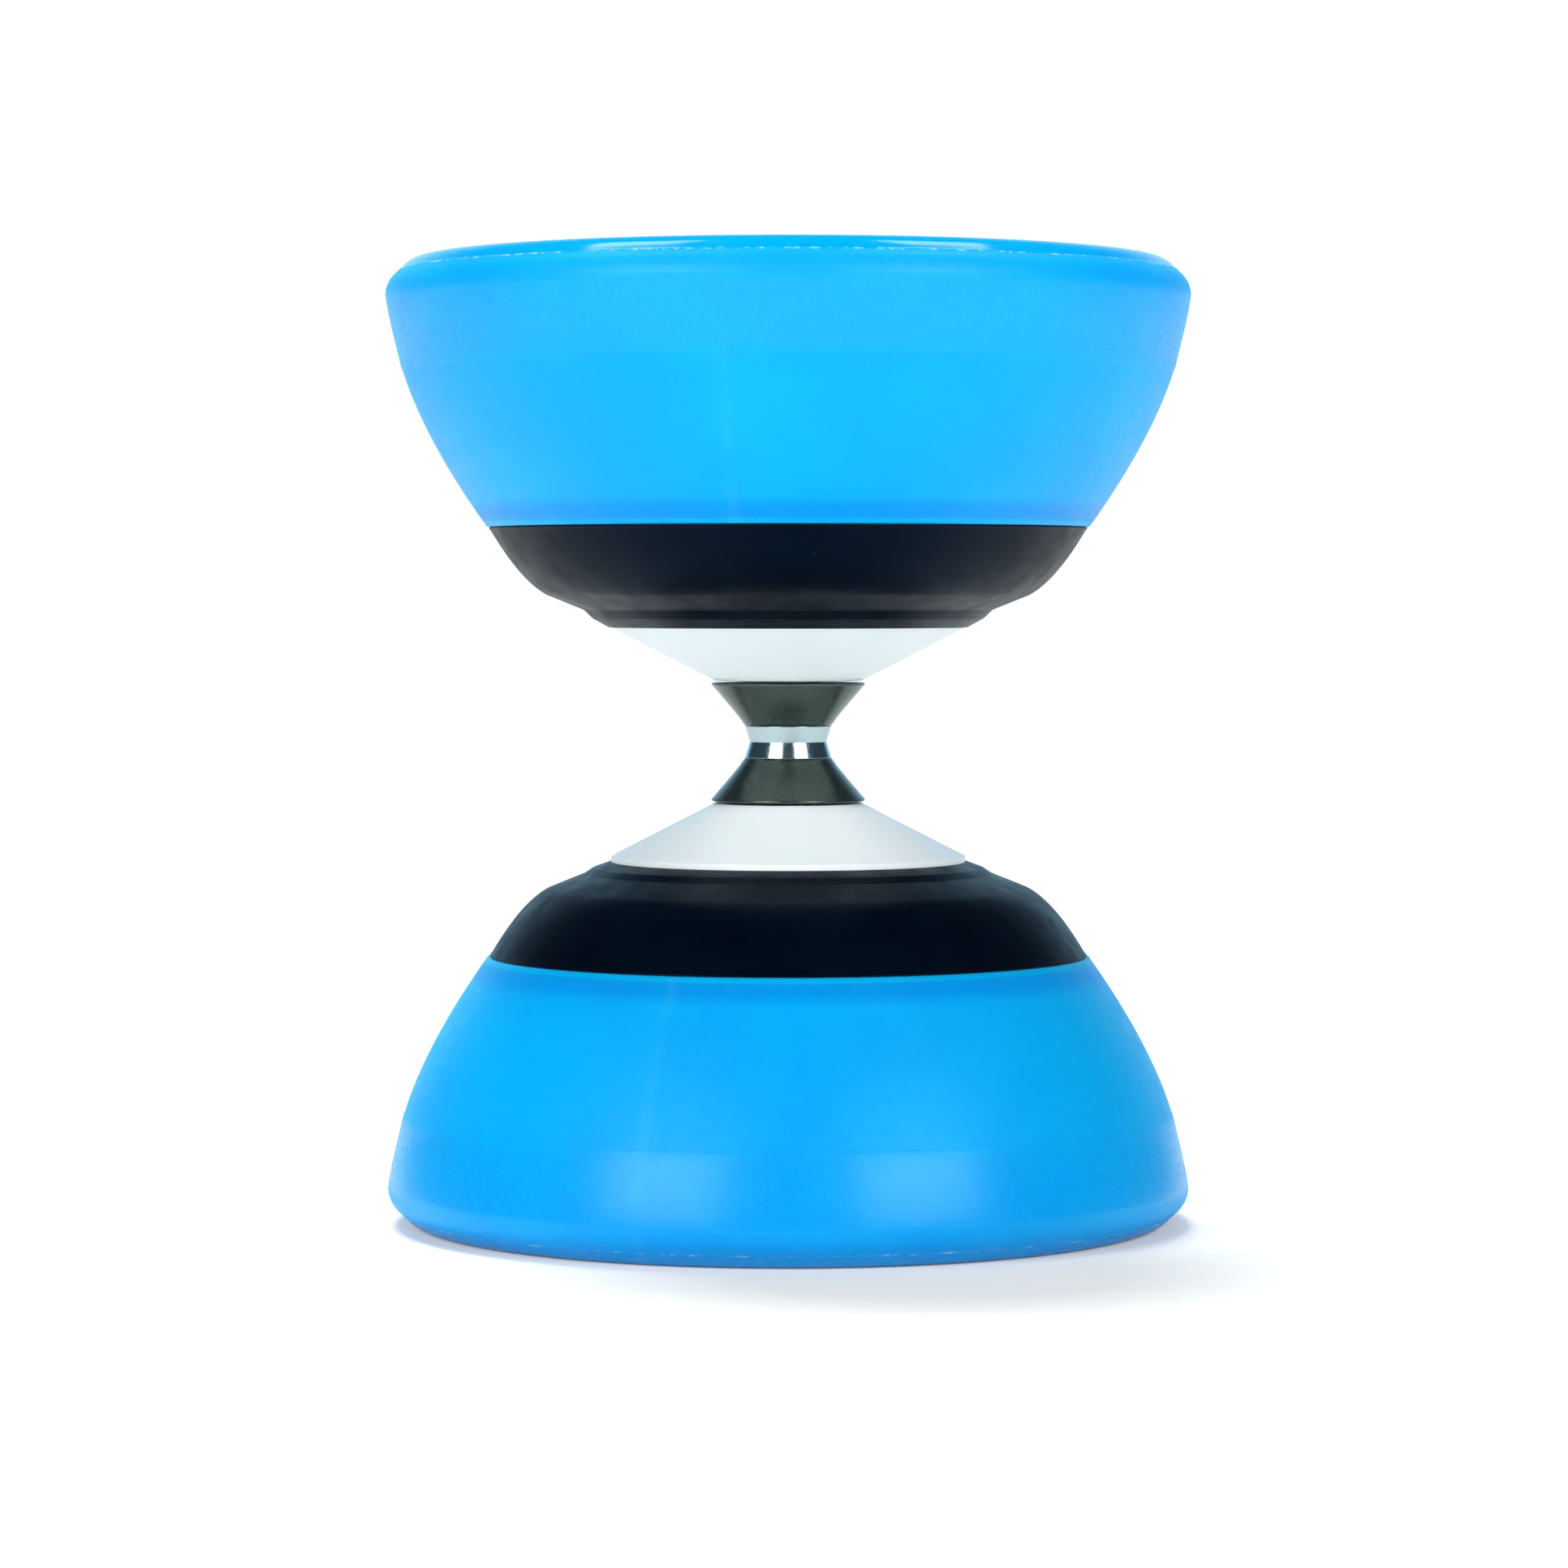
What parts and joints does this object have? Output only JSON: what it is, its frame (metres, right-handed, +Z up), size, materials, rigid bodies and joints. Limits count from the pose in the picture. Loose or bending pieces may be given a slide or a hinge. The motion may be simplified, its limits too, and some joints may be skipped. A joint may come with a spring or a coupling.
{
  "type": "diabolo",
  "caption": "Bearing diabolo: two soft flared cups on stiff hubs, clamped to a shaft around a free-spinning ball bearing roller with a waisted throat for the string.",
  "frame": {"origin": "centre of the lower cup's flat rim, on the axis, at the level of the surface it stands on", "axes": "+Z up along the axis of the shaft, from the lower rim to the upper rim; X and Y are equal by symmetry"},
  "size_m": [0.115, 0.115, 0.138],
  "materials": {
    "cup_rubber": "satin",
    "hub_plastic": "matte",
    "cone_plastic": "satin",
    "anodised_aluminium": "satin",
    "ring_steel": "polished",
    "shaft_steel": "satin",
    "zinc_steel": "satin",
    "bearing_steel": "polished",
    "nut_nylon": "satin"
  },
  "bodies": {
    "cups": {"upper_cup": "cup_rubber", "lower_cup": "cup_rubber", "upper_hub": "hub_plastic", "lower_hub": "hub_plastic", "upper_cone_washer": "cone_plastic", "lower_cone_washer": "cone_plastic", "shaft": "shaft_steel", "upper_clamp_bush": "shaft_steel", "lower_clamp_bush": "shaft_steel", "upper_clamp_washer": "zinc_steel", "lower_clamp_washer": "zinc_steel", "upper_lock_nut": "zinc_steel", "lower_lock_nut": "zinc_steel", "upper_nut_insert": "nut_nylon", "lower_nut_insert": "nut_nylon", "upper_inner_spacer": "shaft_steel", "lower_inner_spacer": "shaft_steel", "upper_bearing_inner_ring": "bearing_steel", "middle_bearing_inner_ring": "bearing_steel", "lower_bearing_inner_ring": "bearing_steel"},
    "roller": {"throat_ring": "ring_steel", "upper_axle_cone": "anodised_aluminium", "lower_axle_cone": "anodised_aluminium", "upper_outer_spacer": "shaft_steel", "lower_outer_spacer": "shaft_steel", "upper_bearing_outer_ring": "bearing_steel", "upper_bearing_top_shield": "bearing_steel", "upper_bearing_bottom_shield": "bearing_steel", "middle_bearing_outer_ring": "bearing_steel", "middle_bearing_top_shield": "bearing_steel", "middle_bearing_bottom_shield": "bearing_steel", "lower_bearing_outer_ring": "bearing_steel", "lower_bearing_top_shield": "bearing_steel", "lower_bearing_bottom_shield": "bearing_steel"},
    "upper_balls": {"upper_bearing_ball_cage": "bearing_steel"},
    "middle_balls": {"middle_bearing_ball_cage": "bearing_steel"},
    "lower_balls": {"lower_bearing_ball_cage": "bearing_steel"}
  },
  "joints": [
    {"name": "roller_spin", "type": "hinge", "parent": "cups", "child": "roller", "pos_m": [0, 0, 0.069], "axis": [0, 0, 1], "continuous": true},
    {"name": "upper_balls_roll", "type": "hinge", "parent": "cups", "child": "upper_balls", "pos_m": [0, 0, 0.0747], "axis": [0, 0, 1], "continuous": true},
    {"name": "middle_balls_roll", "type": "hinge", "parent": "cups", "child": "middle_balls", "pos_m": [0, 0, 0.069], "axis": [0, 0, 1], "continuous": true},
    {"name": "lower_balls_roll", "type": "hinge", "parent": "cups", "child": "lower_balls", "pos_m": [0, 0, 0.0633], "axis": [0, 0, 1], "continuous": true}
  ],
  "couplings": [
    {"joint": "upper_balls_roll", "follows": "roller_spin", "ratio": 0.5857},
    {"joint": "middle_balls_roll", "follows": "roller_spin", "ratio": 0.5857},
    {"joint": "lower_balls_roll", "follows": "roller_spin", "ratio": 0.5857}
  ]
}
